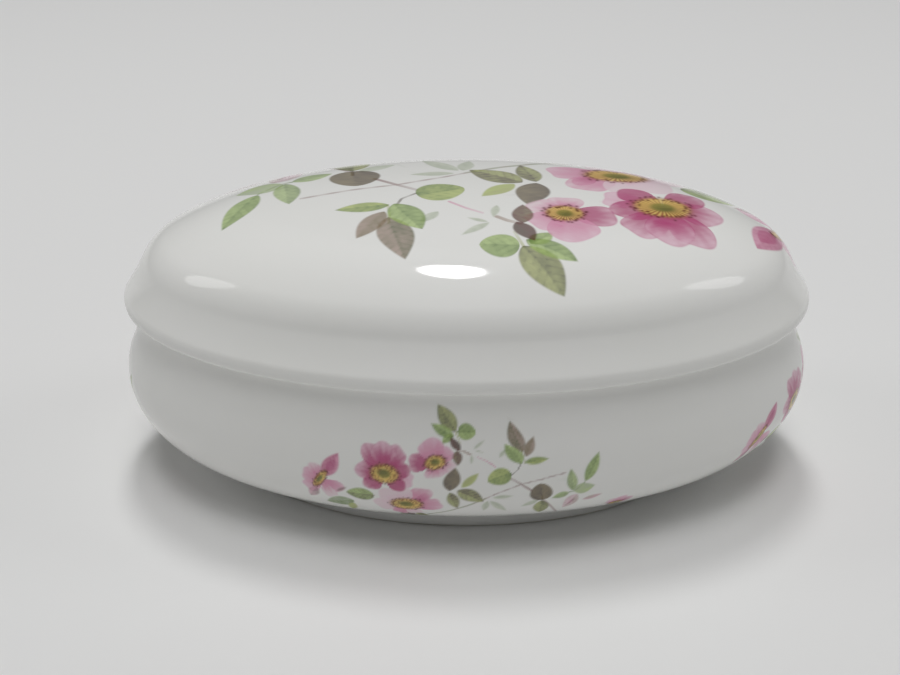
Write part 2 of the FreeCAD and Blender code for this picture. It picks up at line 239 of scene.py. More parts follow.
def bowl_section():
    """Follow the bowl from the middle of its underside up over the collar to the middle of its floor."""
    belly_centre = (BELLY_RADIUS - BELLY_CURVE, BELLY_HEIGHT)
    foot_edge = (FOOT_RADIUS, 0)
    foot_top = (FOOT_RADIUS + FOOT_FLARE, FOOT_HEIGHT)
    recess = (FOOT_RADIUS - FOOT_WIDTH, FOOT_RADIUS * RATIO - FOOT_WIDTH)
    ledge_edge = (LEDGE_RADIUS, SEAT)
    underside_centre = meeting_point(
        foot_top, UNDERSIDE_CURVE, belly_centre, UNDERSIDE_CURVE - BELLY_CURVE
    )
    underside_end = toward(underside_centre, belly_centre, UNDERSIDE_CURVE)
    waist_centre = meeting_point(ledge_edge, WAIST_CURVE, belly_centre, WAIST_CURVE + BELLY_CURVE)
    belly_end = toward(belly_centre, waist_centre, BELLY_CURVE)
    foot = [(0, FOOT_RECESS), (recess[0], FOOT_RECESS), (recess[0], 0)]
    outside = (
        [foot_edge]
        + arc(underside_centre, foot_top, underside_end)
        + arc(belly_centre, underside_end, belly_end)
        + arc(waist_centre, belly_end, ledge_edge)
    )

    collar = DOME_SIDE_RADIUS - WALL - COLLAR_CLEARANCE
    collar_deep = DOME_SIDE_RADIUS * RATIO - WALL - COLLAR_CLEARANCE
    throat = collar - COLLAR_WIDTH
    inner_curve = BELLY_CURVE - WALL
    throat_rise = math.sqrt(inner_curve ** 2 - (throat - belly_centre[0]) ** 2)
    throat_foot = (throat, BELLY_HEIGHT + throat_rise)
    inner_side = (BELLY_RADIUS - WALL, BELLY_HEIGHT)
    inner_underside = UNDERSIDE_CURVE - WALL
    floor_edge = (FLOOR_RADIUS, FLOOR_HEIGHT)
    inner_centre = meeting_point(floor_edge, inner_underside, belly_centre, inner_underside - inner_curve)
    inner_end = toward(inner_centre, belly_centre, inner_underside)
    rim = [(collar, SEAT), (collar, COLLAR_TOP), (throat, COLLAR_TOP)]
    under_throat = arc(belly_centre, throat_foot, inner_side)
    hollow = (
        arc(belly_centre, inner_side, inner_end)
        + arc(inner_centre, inner_end, floor_edge)
        + [(0, FLOOR_HEIGHT)]
    )
    collar_pair = (collar, collar_deep)
    throat_pair = (throat, collar_deep - COLLAR_WIDTH)
    inner_pair = (BELLY_RADIUS - WALL, BELLY_RADIUS * RATIO - WALL)
    return (
        deepen(foot, (0, 0), recess)
        + deepen(outside, (0, 0), (1, RATIO))
        + deepen(rim, collar_pair, throat_pair)
        + deepen(under_throat, throat_pair, inner_pair)
        + deepen(hollow, (0, 0), inner_pair)
    )


# ---- Painting ----


class Canvas:
    """Points of a surface, each with its place in a spray's own millimetres and its colour so far."""

    def __init__(self, across, up, colours, strength, softness):
        self.across = across
        self.up = up
        self.colours = colours
        self.strength = strength
        self.softness = softness

    def near(self, centre, reach):
        """Find the points within reach of a centre, and their offsets from it."""
        close = (abs(self.across - centre[0]) < reach) & (abs(self.up - centre[1]) < reach)
        spots = np.flatnonzero(close)
        return spots, self.across[spots] - centre[0], self.up[spots] - centre[1]

    def beside(self, base, tip, reach):
        """Find the points near the line from base to tip: how far along it, 0 to 1, and how far aside."""
        spots, across, up = self.near(base, math.dist(base, tip) + reach)
        length = math.dist(base, tip)
        way = ((tip[0] - base[0]) / length, (tip[1] - base[1]) / length)
        along = (across * way[0] + up * way[1]) / length
        aside = up * way[0] - across * way[1]
        return spots, along, aside

    def lay(self, spots, colour, cover):
        """Lay a colour, or a colour for each spot, over what is there."""
        cover = self.strength * cover[:, None]
        self.colours[spots] += cover * (colour - self.colours[spots])


def blend(start, end, share):
    """Mix two colours by a share for each spot."""
    return start + (end - start) * share[:, None]


def soften(distance, width):
    """Rise smoothly from 0 to 1 as a distance goes from 0 to width."""
    share = np.clip(distance / width, 0, 1)
    return share * share * (3 - 2 * share)


def mottle(across, up):
    """Give a brush's uneven wash: slow and quick waves that cross at odd angles, about -1 to 1."""
    slow = np.sin(1.9 * across + 0.7 * up) * np.sin(1.3 * up - 0.6 * across + 1)
    quick = np.sin(5.1 * across - 2.2 * up) * np.sin(4.3 * up + 1.4 * across)
    return 0.7 * slow + 0.5 * quick


# A leaf's greatest half width, as a share of the width asked for. A skew under 1 sets it nearer the base.
LEAF_SPREAD = 0.57
LEAF_SKEW = 0.82
# A leaf's lines, in millimetres, and how far its veins slant back for each millimetre aside.
RIB_WIDTH = 0.16
VEIN_SPACING = 1.05
VEIN_SLANT = 0.9
LEAF_EDGE = 0.3


def leaf(canvas, base, tip, width, light, dark, fullness=0.8, cover=0.9):
    """Paint a leaf: broadest toward its base, one half darker, with a midrib, veins and a darker edge."""
    spots, along, aside = canvas.beside(base, tip, width)
    inside = np.clip(along, 0, 1) ** LEAF_SKEW
    half_width = LEAF_SPREAD * width * np.sin(math.pi * inside) ** fullness
    edge = half_width - abs(aside)
    kept = edge > 0
    spots, along, aside, edge = spots[kept], along[kept], aside[kept], edge[kept]
    rib = np.exp(-((aside / RIB_WIDTH) ** 2))
    slant = along * math.dist(base, tip) - abs(aside) * VEIN_SLANT
    veins = soften(np.cos(slant * 2 * math.pi / VEIN_SPACING) - 0.4, 0.6)
    darker_half = np.sign(aside) * soften(abs(aside), 0.3)
    shade = 0.42 + 0.17 * darker_half - 0.2 * along
    shade = shade + 0.24 * mottle(canvas.across[spots], canvas.up[spots])
    shade = shade + 0.3 * rib + 0.2 * veins + 0.32 * np.exp(-edge / LEAF_EDGE)
    colour = blend(light, dark, np.clip(shade, 0, 1))
    canvas.lay(spots, colour, cover * soften(edge, canvas.softness))


# A petal has the width asked for at this share of its length, and fades over this share of it.
PETAL_FAN = 0.6
PETAL_FADE = 0.6
# A petal's outline lies this far inside its edge, in millimetres.
PETAL_LINE = 0.25
PETAL_LINE_WIDTH = 0.14


def petal(canvas, heart, tip, width, outer, inner, depth=0.6, cover=0.94):
    """Paint a petal: a streaked fan from a flower's heart out to a wavy tip, with a line round its edge.

    The inner colour gives way to the outer one about depth, a share of the petal's length.
    """
    length = math.dist(heart, tip)
    half_angle = math.atan2(width / 2, PETAL_FAN * length)
    spots, along, aside = canvas.beside(heart, tip, width)
    reach = np.hypot(along, aside / length)
    swing = np.arctan2(aside / length, along) / half_angle
    waves = 0.96 + 0.04 * np.cos(swing * 6 + tip[1])
    outline = (1 - np.clip(abs(swing), 0, 1) ** 3) ** 0.5 * waves
    edge = (outline - reach) * length
    kept = (edge > 0) & (abs(swing) < 1)
    spots, reach, swing, edge = spots[kept], reach[kept], swing[kept], edge[kept]
    streaks = 0.5 * np.sin(swing * 9 + 4 * reach) + 0.5 * np.sin(swing * 19 + heart[0])
    deepness = 1 - soften(reach - depth + 0.3 + 0.07 * streaks + 0.14 * swing ** 2, PETAL_FADE)
    deepness = deepness + 0.1 * mottle(canvas.across[spots], canvas.up[spots])
    deepness = deepness + 0.3 * np.exp(-((edge - PETAL_LINE) / PETAL_LINE_WIDTH) ** 2)
    colour = blend(outer, inner, np.clip(deepness, 0, 1))
    canvas.lay(spots, colour, cover * soften(edge, canvas.softness))


FILAMENTS = 31
# The anthers' least and greatest sizes, in millimetres, and distances, as shares of the ring's half sizes.
ANTHER_SIZES = (0.13, 0.2)
ANTHER_RING = (0.68, 1.12)


def stamens(canvas, heart, wide, tall, tilt=0.0, count=64):
    """Paint a flower's heart: a green eye, gold filaments round it and dark anthers at their ends.

    wide and tall are the ring's half sizes.
    """
    spots, across, up = canvas.near(heart, wide * 1.4 + tall)
    lean = math.radians(tilt)
    along = (across * math.cos(lean) + up * math.sin(lean)) / wide
    aside = (up * math.cos(lean) - across * math.sin(lean)) / tall
    reach = np.hypot(along, aside)
    turn = np.arctan2(aside, along)
    canvas.lay(spots, AMBER, 0.5 * soften(1.15 - reach, 0.3))
    filaments = soften(0.5 + 0.5 * np.sin(turn * FILAMENTS + 2 * np.sin(3 * turn) + 3 * reach), 1)
    glow = blend(GOLD, AMBER, np.clip(0.9 * filaments - 0.25 + 0.3 * aside, 0, 1))
    canvas.lay(spots, glow, 0.9 * soften(1 - reach, 0.3))
    canvas.lay(spots, HEART_GREEN, 0.85 * soften(0.5 - reach, 0.25))
    shade = np.exp(-(((along + 0.1) / 0.4) ** 2 + ((aside - 0.2) / 0.3) ** 2))
    canvas.lay(spots, DARK_OLIVE, 0.75 * shade)
    dice = random.Random(round(heart[0] * 10))
    for number in range(count):
        angle = 2 * math.pi * (number + dice.uniform(-0.4, 0.4)) / count
        distance = dice.uniform(*ANTHER_RING)
        spot_along = (along - distance * math.cos(angle)) * wide
        spot_aside = (aside - distance * math.sin(angle)) * tall
        size = dice.uniform(*ANTHER_SIZES)
        canvas.lay(spots, MAROON, 0.85 * np.exp(-(spot_along ** 2 + spot_aside ** 2) / size ** 2))


STEM_STEPS = 12
STEM_SMOOTHINGS = 3


def stem(canvas, points, width, colour, cover=0.8):
    """Paint a stem through a few points, its corners rounded, with soft sides and an uneven wash."""
    corners = np.array(points, float)
    knots = np.arange(len(corners))
    fine = np.linspace(0, len(corners) - 1, STEM_STEPS * len(corners))
    path = np.column_stack([np.interp(fine, knots, corners[:, side]) for side in (0, 1)])
    for _ in range(STEM_SMOOTHINGS):
        path[1:-1] = (path[:-2] + 2 * path[1:-1] + path[2:]) / 4
    centre = path.mean(axis=0)
    reach = abs(path - centre).max() + width
    spots, across, up = canvas.near(centre, reach)
    spots_at = np.column_stack((across, up)) + centre
    nearest = np.full(len(spots), np.inf)
    for start, end in zip(path[:-1], path[1:]):
        way = end - start
        share = np.clip((spots_at - start) @ way / (way @ way), 0, 1)
        gap = np.linalg.norm(spots_at - start - share[:, None] * way, axis=1)
        nearest = np.minimum(nearest, gap)
    wander = 0.75 + 0.25 * np.sin(2.1 * across + 1.7 * up)
    canvas.lay(spots, colour, cover * wander * soften(width * 0.8 - nearest, width * 0.5))


def flower_petals(canvas, heart, petals):
    """Paint a flower's petals, those listed first lying furthest back."""
    for tip, width, outer, inner, depth in petals:
        petal(canvas, heart, tip, width, outer, inner, depth)


def paint_stems(canvas):
    """Paint the spray's stems and twigs."""
    long_stem = [(19, -2.9), (14, -4.8), (9.5, -6), (5, -8.2), (2.2, -10), (-1, -12), (-5, -13.8), (-9, -15)]
    stem(canvas, long_stem, 0.34, TWIG, 0.6)
    stem(canvas, [(2.6, -9.8), (-1, -12), (-5, -13.8), (-9, -15)], 0.5, GREY_GREEN, 0.6)
    stem(canvas, [(7.5, -4.4), (9.6, -6), (12, -8)], 0.45, TWIG)
    stem(canvas, [(1, 1.3), (2.6, 0.2), (4.2, -1.3)], 0.3, ROSE, 0.7)
    stem(canvas, [(9.3, -0.6), (8.9, -2.1), (7.5, -3.5)], 0.26, DARK_BROWN, 0.7)
    stem(canvas, [(10.2, -0.6), (9.9, 1.5), (9.9, 3.6)], 0.26, OLIVE, 0.8)
    stem(canvas, [(-2.8, 8), (-2.4, 6.6), (-2, 5.2)], 0.3, OLIVE, 0.6)
    stem(canvas, [(-2.6, 3.4), (-1.4, 2.9), (-0.4, 2.1)], 0.5, MAUVE_BROWN, 0.8)
    stem(canvas, [(15, -11), (17, -13), (20, -16.5)], 0.5, TWIG, 0.8)
    stem(canvas, [(14.4, -9.4), (14.5, -10.6), (14.9, -12)], 0.35, DARK_BROWN, 0.8)
    stem(canvas, [(20.6, -8), (21.6, -7.6), (23.6, -5)], 0.3, LEAF_GREEN, 0.7)


def paint_leaves(canvas):
    """Paint the leaves, from those behind to those in front."""
    for base, tip, width in (
        ((3, -10.5), (2.3, -14.6), 1.8),
        ((3.4, -10.5), (7.6, -15), 1.9),
        ((3.8, -9.6), (8.6, -9.2), 1.5),
        ((14, -10.7), (10, -13.2), 1.7),
        ((5.2, 1), (7, 3.6), 1.3),
        ((0.3, 3.3), (3.1, 6.1), 1.1),
        ((0.4, 3.3), (2.6, 2.3), 0.8),
        ((-0.4, -0.6), (0, 2.4), 1.0),
    ):
        leaf(canvas, base, tip, width, SAGE, GREY_GREEN, cover=0.7)
    leaf(canvas, (-2.7, 7.8), (-6.5, 13.9), 3.4, OLIVE, DARK_OLIVE)
    leaf(canvas, (-3, 6.6), (-7.8, 9.8), 2.5, SPRING_GREEN, LEAF_GREEN)
    leaf(canvas, (-3.4, 7.4), (-5.6, 5.1), 2.0, SPRING_GREEN, LEAF_GREEN)
    leaf(canvas, (-2.4, 7.8), (1.3, 7.7), 3.8, SPRING_GREEN, LEAF_GREEN, fullness=0.5)
    leaf(canvas, (7.4, -3), (2.8, -4.9), 4.2, LIME, LEAF_GREEN, fullness=0.5)
    leaf(canvas, (10, 2.2), (8, 10.2), 3.3, MAUVE_BROWN, DARK_OLIVE)
    leaf(canvas, (10.4, 0.9), (12.8, 6.6), 2.3, MAUVE_BROWN, BROWN)
    leaf(canvas, (9.6, -0.9), (6.6, 4.9), 3.2, SPRING_GREEN, LEAF_GREEN)
    leaf(canvas, (10, -0.6), (15.4, 0.4), 2.2, LIME, LEAF_GREEN)
    leaf(canvas, (14.5, -11), (15.4, -16.8), 3.7, OLIVE, DARK_OLIVE)
    leaf(canvas, (14.5, -10.9), (13.6, -5.9), 4.9, BROWN, DARK_BROWN, fullness=0.5)
    leaf(canvas, (22.6, -8.4), (20.4, -14), 3.2, PALE_ROSE, MAUVE_BROWN, cover=0.7)
    leaf(canvas, (22.4, -9.6), (20.8, -13), 1.2, ROSE, MAROON, cover=0.6)
    leaf(canvas, (24.2, -10.4), (28.8, -8.8), 1.6, ROSE, MAUVE_BROWN, cover=0.7)
    leaf(canvas, (21.3, -7.4), (26.2, -5.8), 3.2, SPRING_GREEN, GREY_GREEN, cover=0.8)
    leaf(canvas, (21.2, -7.6), (20, -1.5), 2.7, SPRING_GREEN, LEAF_GREEN, cover=0.8)
    leaf(canvas, (20.6, -8), (16.5, -10.4), 2.0, SPRING_GREEN, LEAF_GREEN, cover=0.8)
    leaf(canvas, (23.6, -4.8), (26.2, 2.7), 2.7, SPRING_GREEN, LEAF_GREEN)
    leaf(canvas, (-2.3, -6.3), (1.2, -2.6), 2.1, LIME, OLIVE)
    leaf(canvas, (-4.5, -7.1), (-3, -13.1), 2.5, OLIVE, DARK_BROWN)
    leaf(canvas, (-3.1, -6.8), (2.4, -10.9), 3.5, OLIVE, DARK_BROWN)
    leaf(canvas, (-4.5, -6.8), (-3.4, -0.7), 3.3, BROWN, DARK_BROWN)
    leaf(canvas, (-19.4, -8), (-25.4, -7.8), 3.8, SPRING_GREEN, DARK_OLIVE, fullness=0.6)
    leaf(canvas, (-24.3, -10.6), (-31.4, -12.6), 3.6, GREY_GREEN, LEAF_GREEN)
    leaf(canvas, (-24.6, -11.5), (-27, -16), 2.2, LIME, OLIVE)
    leaf(canvas, (-12.6, -13.6), (-15, -19), 3.6, BROWN, DARK_BROWN)
    leaf(canvas, (-11.5, -13.8), (-9, -18.5), 2.4, OLIVE, DARK_OLIVE)


def paint_flowers(canvas):
    """Paint the four open roses and the buds between them."""
    flower_petals(canvas, (-13.2, -10.4), (
        ((-20.3, -11), 6.5, BLUSH, PALE_ROSE, 0.5),
        ((-15.6, -15.2), 5.0, BLUSH, ROSE, 0.9),
        ((-11, -15), 5.0, BLUSH, PALE_ROSE, 0.6),
        ((-5.4, -10.9), 5.5, PALE_ROSE, ROSE, 0.8),
        ((-8, -5.4), 6.5, BLUSH, ROSE, 0.85),
        ((-18.3, -5.8), 6.0, BLUSH, PALE_ROSE, 0.5),
        ((-13.6, -4.6), 6.8, BLUSH, PALE_ROSE, 0.55),
    ))
    petal(canvas, (-11.2, -9.6), (-8.2, -6.7), 3.0, ROSE, DEEP_ROSE, 0.6, cover=0.6)
    stamens(canvas, (-13, -10.3), 3.7, 2.3)
    flower_petals(canvas, (-30, -5), (
        ((-25.4, -7.4), 5.4, PALE_ROSE, ROSE, 0.7),
        ((-28.6, -10.5), 4.0, BLUSH, ROSE, 0.5),
        ((-34.4, -8.5), 5.0, PALE_ROSE, ROSE, 0.6),
        ((-34.4, -3.4), 6.4, PALE_ROSE, ROSE, 0.7),
        ((-31.8, -0.6), 4.8, BLUSH, ROSE, 0.7),
    ))
    leaf(canvas, (-31.5, -7.5), (-34.4, -11.2), 2.4, ROSE, MAROON, cover=0.6)
    leaf(canvas, (-27.6, -8), (-24.6, -6), 1.2, MAUVE_BROWN, MAROON, cover=0.6)
    leaf(canvas, (-29.3, -3.9), (-25.9, 2.4), 3.4, ROSE, DEEP_ROSE)
    leaf(canvas, (-28.6, -2.6), (-26.5, 0.8), 2.2, DEEP_ROSE, DEEP_ROSE, cover=0.6)
    stamens(canvas, (-30.4, -4.8), 3.2, 1.0, tilt=55, count=44)
    flower_petals(canvas, (-16.8, -1.8), (
        ((-22.9, -0.6), 7.6, PALE_ROSE, DEEP_ROSE, 0.75),
        ((-21, -5.8), 5.8, PALE_ROSE, DEEP_ROSE, 0.9),
        ((-10.5, -3.6), 5.2, PALE_ROSE, ROSE, 0.6),
        ((-12.7, -5.9), 5.2, ROSE, DEEP_ROSE, 1.0),
        ((-20.4, 5.4), 6.0, PALE_ROSE, DEEP_ROSE, 0.8),
        ((-11.3, 0.3), 7.0, PALE_ROSE, DEEP_ROSE, 0.95),
        ((-13.3, 5.1), 6.0, PALE_ROSE, DEEP_ROSE, 0.8),
        ((-17, 6), 6.8, PALE_ROSE, DEEP_ROSE, 0.75),
    ))
    stamens(canvas, (-16.7, -1.7), 3.15, 2.6)
    flower_petals(canvas, (-7, 0.7), (
        ((-7.2, -3.3), 6.6, BLUSH, ROSE, 0.7),
        ((-12.3, 1.7), 7.4, PALE_ROSE, DEEP_ROSE, 0.85),
        ((-3.3, -1.4), 5.4, BLUSH, ROSE, 0.6),
        ((-3.5, 4.1), 6.2, PALE_ROSE, ROSE, 0.7),
        ((-7.9, 7), 8.0, PALE_ROSE, ROSE, 0.75),
    ))
    stamens(canvas, (-6.9, 0.9), 2.05, 1.9, count=48)
    leaf(canvas, (-2.8, 3.4), (-2.9, -0.9), 2.1, BROWN, MAROON)
    leaf(canvas, (-2.2, 3.1), (-3.9, 6.9), 2.0, DARK_BROWN, MAROON)


def paint_spray(canvas):
    """Paint a whole spray on a canvas. Its own origin lies just right of the two upper roses."""
    paint_stems(canvas)
    paint_leaves(canvas)
    paint_flowers(canvas)


def paint_long_spray(canvas):
    """Paint a spray with one more small rose, beyond the tip of its twigs."""
    paint_spray(canvas)
    flower_petals(canvas, (34, -14.5), (
        ((31, -12), 4.0, BLUSH, ROSE, 0.6),
        ((37.4, -12.4), 4.0, PALE_ROSE, DEEP_ROSE, 0.6),
        ((34.3, -10.8), 4.2, PALE_ROSE, ROSE, 0.6),
    ))
    stamens(canvas, (34, -14.4), 1.7, 1.2, count=24)


# ---- Surfaces ----

# How far a spray reaches to each side of its origin. It is half as tall.
SPRAY_REACH = 42


class Surface:
    """An oval surface's lattice: a place and a colour for each step round by each step along."""

    def __init__(self, section):
        self.section = even_section(section)
        self.turns = np.linspace(0, 2 * math.pi, AROUND + 1)
        self.colours = np.tile(PORCELAIN, (AROUND + 1, ALONG + 1, 1))

    def paint(self, design, rows, across, up, strength, softness):
        """Paint a design over some rows, given each of their points' place in the design's millimetres."""
        colours = self.colours[:, rows]
        reached = (abs(across) < SPRAY_REACH) & (abs(up) < SPRAY_REACH / 2)
        canvas = Canvas(across[reached], up[reached], colours[reached], strength, softness)
        design(canvas)
        colours[reached] = canvas.colours

    def place(self, turn_steps, along_steps):
        """Find lattice points' places and the directions that the surface faces there."""
        turns = self.turns[turn_steps]
        slopes = np.gradient(self.section, axis=0)[along_steps]
        across, deep, up = self.section[along_steps].T
        across_slope, deep_slope, up_slope = slopes.T
        places = np.column_stack((across * np.cos(turns), deep * np.sin(turns), up))
        facing = np.column_stack((
            deep * np.cos(turns) * up_slope,
            across * np.sin(turns) * up_slope,
            -across * deep_slope * np.sin(turns) ** 2 - deep * across_slope * np.cos(turns) ** 2,
        ))
        length = np.linalg.norm(facing, axis=1, keepdims=True)
        return places, facing / length

    def bends_along(self, first, last):
        """Say whether the section strays from the straight line between two of its steps."""
        span = self.section[first:last + 1]
        chord = span[-1] - span[0]
        share = np.linspace(0, 1, len(span))[:, None]
        return np.linalg.norm(span - span[0] - share * chord, axis=1).max() > SHAPE_MISS

    def divide(self):
        """Divide the lattice into the largest cells that keep the surface's shape and colours."""
        stack = [
            (turn, turn + LARGEST_STEP, step, step + LARGEST_STEP)
            for turn in range(0, AROUND, LARGEST_STEP)
            for step in range(0, ALONG, LARGEST_STEP)
        ]
        spacing = np.linalg.norm(np.diff(self.section, axis=0), axis=1).mean()
        bends = {}
        cells = []
        while stack:
            left, right, low, high = stack.pop()
            wide = right - left
            tall = high - low
            radius = max(self.section[low, 0], self.section[high, 0])
            width = radius * 2 * math.pi * wide / AROUND
            height = spacing * tall
            sagitta = radius * (1 - math.cos(math.pi * wide / AROUND))
            if (low, high) not in bends:
                bends[low, high] = self.bends_along(low, high)
            split_turn = wide > 1 and sagitta > SHAPE_MISS
            split_along = tall > 1 and bends[low, high]
            if not split_turn and not split_along and (wide > 1 or tall > 1):
                block = self.colours[left:right + 1, low:high + 1].reshape(-1, 3)
                if np.ptp(block, axis=0).max() > COLOUR_MISS:
                    split_turn = wide > 1 and (width >= height * SPLIT_RATIO or tall == 1)
                    split_along = tall > 1 and (height >= width * SPLIT_RATIO or wide == 1)
            if split_turn:
                middle = (left + right) // 2
                stack += [(left, middle, low, high), (middle, right, low, high)]
            elif split_along:
                middle = (low + high) // 2
                stack += [(left, right, low, middle), (left, right, middle, high)]
            else:
                cells.append((left, right, low, high))
        return cells

    def faces(self):
        """List the surface's lattice points and faces. A face takes in its finer neighbours' corners."""
        cells = self.divide()
        rows = {}
        columns = {}
        for left, right, low, high in cells:
            for step in (low, high):
                rows.setdefault(step, set()).update((left, right))
            for turn in (left, right):
                columns.setdefault(turn % AROUND, set()).update((low, high))
        rows = {step: sorted(turns) for step, turns in rows.items()}
        columns = {turn: sorted(steps) for turn, steps in columns.items()}
        numbers = {}

        def point(turn, step):
            return numbers.setdefault((turn % AROUND, step), len(numbers))

        faces = []
        for left, right, low, high in cells:
            bottom = between(rows[low], left, right)
            top = between(rows[high], left, right)
            near_side = between(columns[left % AROUND], low, high)
            far_side = between(columns[right % AROUND], low, high)
            corners = [point(turn, low) for turn in bottom[:-1]]
            corners += [point(right, step) for step in far_side[:-1]]
            corners += [point(turn, high) for turn in reversed(top[1:])]
            corners += [point(left, step) for step in reversed(near_side[1:])]
            faces.append(corners)
        first_cap = [point(turn, 0) for turn in reversed(rows[0][:-1])]
        last_cap = [point(turn, ALONG) for turn in rows[ALONG][:-1]]
        return np.array(list(numbers)), faces + [first_cap, last_cap]


def between(values, first, last):
    """List the sorted values from first to last, both included."""
    return values[bisect.bisect_left(values, first):bisect.bisect_right(values, last)]


def make_mesh(surface, name):
    """Make a surface's mesh in metres, with its painting as a colour at each point."""
    points, faces = surface.faces()
    places, facing = surface.place(points[:, 0], points[:, 1])
    mesh = bpy.data.meshes.new(name)
    mesh.from_pydata((places * MM).tolist(), [], faces)
    mesh.shade_smooth()
    mesh.normals_split_custom_set_from_vertices(facing.tolist())
    painting = mesh.color_attributes.new("painting", "FLOAT_COLOR", "POINT")
    colours = np.ones((len(points), 4), np.float32)
    colours[:, :3] = surface.colours[points[:, 0], points[:, 1]]
    painting.data.foreach_set("color", colours.ravel())
    return mesh


def add_piece(surface, node, material):
    """Add a surface as a piece that rides on its node's body and stands in for the node."""
    name = f"painted_{node}"
    piece = bpy.data.objects.new(name, make_mesh(surface, name))
    bpy.context.scene.collection.objects.link(piece)
    piece.data.materials.append(material)
    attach(piece, node)
    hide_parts(node)


# The lid's spray is larger and paler, and turned to face the far side.
LID_SPRAY_SCALE = 2.15
LID_SPRAY_STRENGTH = 0.9
LID_SPRAY_SOFTNESS = 0.32
LID_SPRAY_TURN = math.radians(179)
LID_SPRAY_ORIGIN = (5.3, -6.2)
# How far round the belly from the front the bowl's sprays stand: at the front, right, left and back.
BOWL_SPRAYS = (0, 97, -111, 190)
BOWL_SPRAY_STRENGTH = 1.0
BOWL_SPRAY_SOFTNESS = 0.6
# A bowl's spray rides up by LIFT about LIFT_CENTRE, and less beyond LIFT_REACH from it. The ride loses
# LIFT_LOSS of itself over LIFT_HEIGHT above the widest line, and moves sideways by LIFT_SHIFT of itself.
LIFT = 2.1
LIFT_CENTRE = 7
LIFT_REACH = 14
LIFT_LOSS = 0.8
LIFT_HEIGHT = 9
LIFT_SHIFT = 0.5


def run_along(across, up):
    """Measure how far along a section each of its points lies, seen from one side."""
    return np.concatenate(([0], np.cumsum(np.hypot(np.diff(across), np.diff(up)))))


def make_lid():
    """Make the lid's surface and paint its spray over the dome."""
    surface = Surface(lid_section())
    across, deep, up = surface.section.T
    rows = slice(int(np.argmax(across)) + 1, ALONG + 1)
    side_run = run_along(across, up)
    front_run = run_along(deep, up)
    from_top = (side_run[-1] - side_run[rows], front_run[-1] - front_run[rows])
    flat_across = np.outer(np.cos(surface.turns), from_top[0]) - LID_SPRAY_ORIGIN[0]
    flat_up = np.outer(np.sin(surface.turns), from_top[1]) - LID_SPRAY_ORIGIN[1]
    cosine = math.cos(LID_SPRAY_TURN) / LID_SPRAY_SCALE
    sine = math.sin(LID_SPRAY_TURN) / LID_SPRAY_SCALE
    across = cosine * flat_across + sine * flat_up
    up = cosine * flat_up - sine * flat_across
    surface.paint(paint_spray, rows, across, up, LID_SPRAY_STRENGTH, LID_SPRAY_SOFTNESS)
    return surface


def lift(across, up):
    """Give how far the middle of a spray rides up the bowl, where its flat film met the round belly."""
    middle = np.exp(-((across - LIFT_CENTRE) / LIFT_REACH) ** 4)
    return LIFT * middle * (1 - LIFT_LOSS * soften(up, LIFT_HEIGHT))


def make_bowl():
    """Make the bowl's surface and paint a spray on each side of its belly."""
    surface = Surface(bowl_section())
    across, deep, up = surface.section.T
    belly = int(np.argmax(across))
    run = run_along(deep, up)
    on_foot = int(np.argmax(up > FOOT_HEIGHT))
    below_ledge = int(np.argmax(up > SEAT - EDGE_ROUNDING))
    rows = slice(on_foot, below_ledge)
    pace = np.hypot(BELLY_RADIUS * np.sin(surface.turns), BELLY_RADIUS * RATIO * np.cos(surface.turns))
    round_run = np.concatenate(([0], np.cumsum((pace[1:] + pace[:-1]) / 2 * np.diff(surface.turns))))
    girth = round_run[-1]
    front_turn = AROUND * 3 // 4
    from_front = round_run - round_run[front_turn]
    height = np.tile(run[rows] - run[belly], (AROUND + 1, 1))
    for centre in BOWL_SPRAYS:
        gap = (from_front - centre + girth / 2) % girth - girth / 2
        gap = np.repeat(gap[:, None], height.shape[1], axis=1)
        shifted = gap - LIFT_SHIFT * lift(gap, height)
        lifted = height - lift(shifted, height)
        surface.paint(paint_long_spray, rows, shifted, lifted, BOWL_SPRAY_STRENGTH, BOWL_SPRAY_SOFTNESS)
    return surface


# ---- Finish ----


CLOUD = (0.97, 0.975, 0.96, 1)
SPECK = (0.16, 0.13, 0.10, 1)
BARE_CLAY = (0.70, 0.66, 0.58, 1)
BARE_ROUGHNESS = 0.75
GLAZE_IOR = 1.5
WAVE_STRENGTH = 0.25
WAVE_HEIGHT = 0.4 * MM
# The foot's glaze starts at this height.
BARE_HEIGHT = 0.4 * MM


